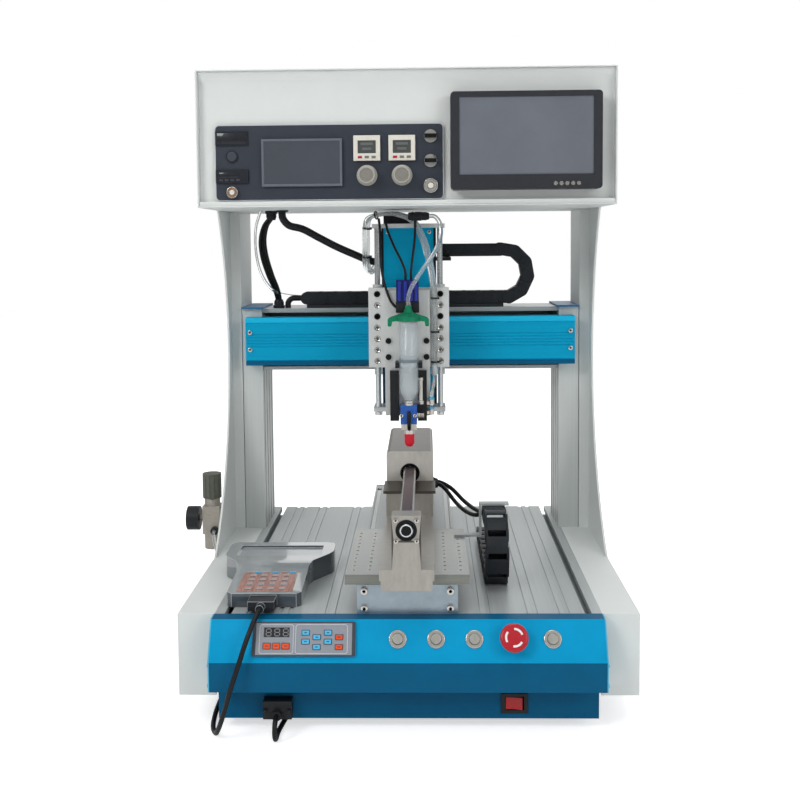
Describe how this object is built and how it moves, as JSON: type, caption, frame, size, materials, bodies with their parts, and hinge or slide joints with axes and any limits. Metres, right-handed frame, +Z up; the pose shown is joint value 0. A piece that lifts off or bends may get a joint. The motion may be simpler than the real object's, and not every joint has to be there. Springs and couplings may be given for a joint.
{
  "type": "desktop dispensing robot",
  "caption": "Desktop gantry robot with a syringe dispensing head, rotary work spindle on a sliding table, front console, hand pendant and an overhead control cabinet.",
  "frame": {"origin": "centre of the four foot bolts, on the bench surface", "axes": "+X to the operator's right, +Y to the back, +Z up"},
  "size_m": [0.625, 0.572, 0.806],
  "materials": {
    "blue_painted": "satin",
    "dark_blue": "satin",
    "white_painted": "satin",
    "aluminium": "satin anodised",
    "machined": "ground",
    "steel": "ground",
    "spindle_steel": "brushed",
    "rubber": "matte",
    "keypad_grey": "matte",
    "nickel": "bright nickel",
    "red_plastic": "gloss",
    "black_plastic": "matte",
    "motor_black": "matte",
    "panel_grey": "matte",
    "module_grey": "matte",
    "knob_grey": "matte",
    "zinc": "cast",
    "olive_plastic": "matte",
    "electronics_case": "matte",
    "valve_blue": "satin",
    "green_plastic": "gloss",
    "clear_barrel": "translucent polypropylene",
    "clear_hose": "clear polyurethane",
    "smoke_plastic": "smoke clear"
  },
  "bodies": {
    "machine": {"console": "blue_painted", "x_cover": "blue_painted", "chassis": "dark_blue", "side_covers": "white_painted", "enclosure": "white_painted", "enclosure_panel": "white_painted", "bed": "aluminium", "posts": "aluminium", "x_beam": "aluminium", "y_module": "aluminium", "rails": "steel", "cover_screws": "steel", "feet": "rubber", "looms": "rubber", "keypad": "keypad_grey", "bezels": "nickel", "front_ports": "black_plastic", "axis_motors": "motor_black", "control_plate": "panel_grey", "panel_modules": "module_grey", "touch_screen": "module_grey", "monitor": "module_grey", "regulator": "zinc", "electronics": "electronics_case"},
    "x_axis": {"x_carriage": "aluminium", "z_frame": "blue_painted", "z_rods": "steel", "x_chain": "black_plastic", "head_loom": "rubber"},
    "z_axis": {"z_slider": "aluminium", "head_plate": "aluminium", "valve": "valve_blue", "barrel_adapter": "green_plastic", "syringe": "clear_barrel", "tip_cap": "red_plastic", "head_hoses": "clear_hose"},
    "y_axis": {"y_carriage": "aluminium", "tooling_plate": "aluminium", "rotary_frame": "machined", "rotary_cables": "rubber", "y_chain": "black_plastic"},
    "x_screw": {"x_screw": "steel"},
    "y_screw": {"y_screw": "steel"},
    "z_screw": {"z_screw": "steel"},
    "spindle": {"spindle": "spindle_steel"},
    "button_1": {"button_1": "nickel"},
    "button_2": {"button_2": "nickel"},
    "button_3": {"button_3": "nickel"},
    "button_4": {"button_4": "nickel"},
    "estop_head": {"estop_head": "red_plastic"},
    "rocker": {"rocker": "red_plastic"},
    "fluid_knob": {"fluid_knob": "knob_grey"},
    "valve_knob": {"valve_knob": "knob_grey"},
    "selector_1": {"selector_1": "nickel"},
    "selector_2": {"selector_2": "nickel"},
    "heat_button": {"heat_button": "nickel"},
    "power_button": {"power_button": "nickel"},
    "regulator_knob": {"regulator_knob": "olive_plastic"},
    "pendant": {"pendant": "smoke_plastic", "pendant_cord": "rubber"}
  },
  "joints": [
    {"name": "x_slide", "type": "slide", "parent": "machine", "child": "x_axis", "axis": [1, 0, 0], "range_m": [-0.15, 0.15], "deforming": ["x_chain", "head_loom"]},
    {"name": "y_slide", "type": "slide", "parent": "machine", "child": "y_axis", "axis": [0, 1, 0], "range_m": [0, 0.3], "deforming": ["y_chain"]},
    {"name": "z_slide", "type": "slide", "parent": "x_axis", "child": "z_axis", "axis": [0, 0, 1], "range_m": [-0.022, 0.07], "deforming": ["head_hoses"]},
    {"name": "spindle_turn", "type": "hinge", "parent": "y_axis", "child": "spindle", "pos_m": [0, -0.1, 0.2495], "axis": [0, 1, 0], "continuous": true},
    {"name": "x_screw_turn", "type": "hinge", "parent": "machine", "child": "x_screw", "pos_m": [0, 0.185, 0.437], "axis": [1, 0, 0], "continuous": true},
    {"name": "y_screw_turn", "type": "hinge", "parent": "machine", "child": "y_screw", "pos_m": [0.026, 0, 0.158], "axis": [0, 1, 0], "continuous": true},
    {"name": "z_screw_turn", "type": "hinge", "parent": "x_axis", "child": "z_screw", "pos_m": [0, 0.069, 0.45], "axis": [0, 0, 1], "continuous": true},
    {"name": "button_1_press", "type": "slide", "parent": "machine", "child": "button_1", "axis": [0, 0.8944, -0.4472], "range_m": [0, 0.0025], "stiffness_N_per_m": 400},
    {"name": "button_2_press", "type": "slide", "parent": "machine", "child": "button_2", "axis": [0, 0.8944, -0.4472], "range_m": [0, 0.0025], "stiffness_N_per_m": 400},
    {"name": "button_3_press", "type": "slide", "parent": "machine", "child": "button_3", "axis": [0, 0.8944, -0.4472], "range_m": [0, 0.0025], "stiffness_N_per_m": 400},
    {"name": "button_4_press", "type": "slide", "parent": "machine", "child": "button_4", "axis": [0, 0.8944, -0.4472], "range_m": [0, 0.0025], "stiffness_N_per_m": 400},
    {"name": "estop_press", "type": "slide", "parent": "machine", "child": "estop_head", "axis": [0, 0.8944, -0.4472], "range_m": [0, 0.004], "stiffness_N_per_m": 2000},
    {"name": "heat_button_press", "type": "slide", "parent": "machine", "child": "heat_button", "axis": [0, 1, 0], "range_m": [0, 0.0025], "stiffness_N_per_m": 400},
    {"name": "power_button_press", "type": "slide", "parent": "machine", "child": "power_button", "axis": [0, 1, 0], "range_m": [0, 0.0025], "stiffness_N_per_m": 400},
    {"name": "rocker_tilt", "type": "hinge", "parent": "machine", "child": "rocker", "pos_m": [0.126, -0.254, 0.034], "axis": [0, 0, 1], "range_deg": [0, 14]},
    {"name": "fluid_knob_turn", "type": "hinge", "parent": "machine", "child": "fluid_knob", "pos_m": [-0.0515, -0.076, 0.6675], "axis": [0, -1, 0], "range_deg": [-150, 150]},
    {"name": "valve_knob_turn", "type": "hinge", "parent": "machine", "child": "valve_knob", "pos_m": [-0.0055, -0.076, 0.6675], "axis": [0, -1, 0], "range_deg": [-150, 150]},
    {"name": "selector_1_turn", "type": "hinge", "parent": "machine", "child": "selector_1", "pos_m": [0.032, -0.076, 0.718], "axis": [0, -1, 0], "range_deg": [-45, 45]},
    {"name": "selector_2_turn", "type": "hinge", "parent": "machine", "child": "selector_2", "pos_m": [0.032, -0.076, 0.686], "axis": [0, -1, 0], "range_deg": [-45, 45]},
    {"name": "regulator_knob_turn", "type": "hinge", "parent": "machine", "child": "regulator_knob", "pos_m": [-0.312, 0.15, 0.2], "axis": [0, 0, 1], "range_deg": [-180, 180]},
    {"name": "pendant_lift", "type": "slide", "parent": "machine", "child": "pendant", "axis": [0, 0, 1], "range_m": [0, 0.12], "deforming": ["pendant_cord"]}
  ],
  "couplings": [
    {"joint": "x_screw_turn", "follows": "x_slide", "rad_per_m": 314.16},
    {"joint": "y_screw_turn", "follows": "y_slide", "rad_per_m": 314.16},
    {"joint": "z_screw_turn", "follows": "z_slide", "rad_per_m": 628.32}
  ]
}
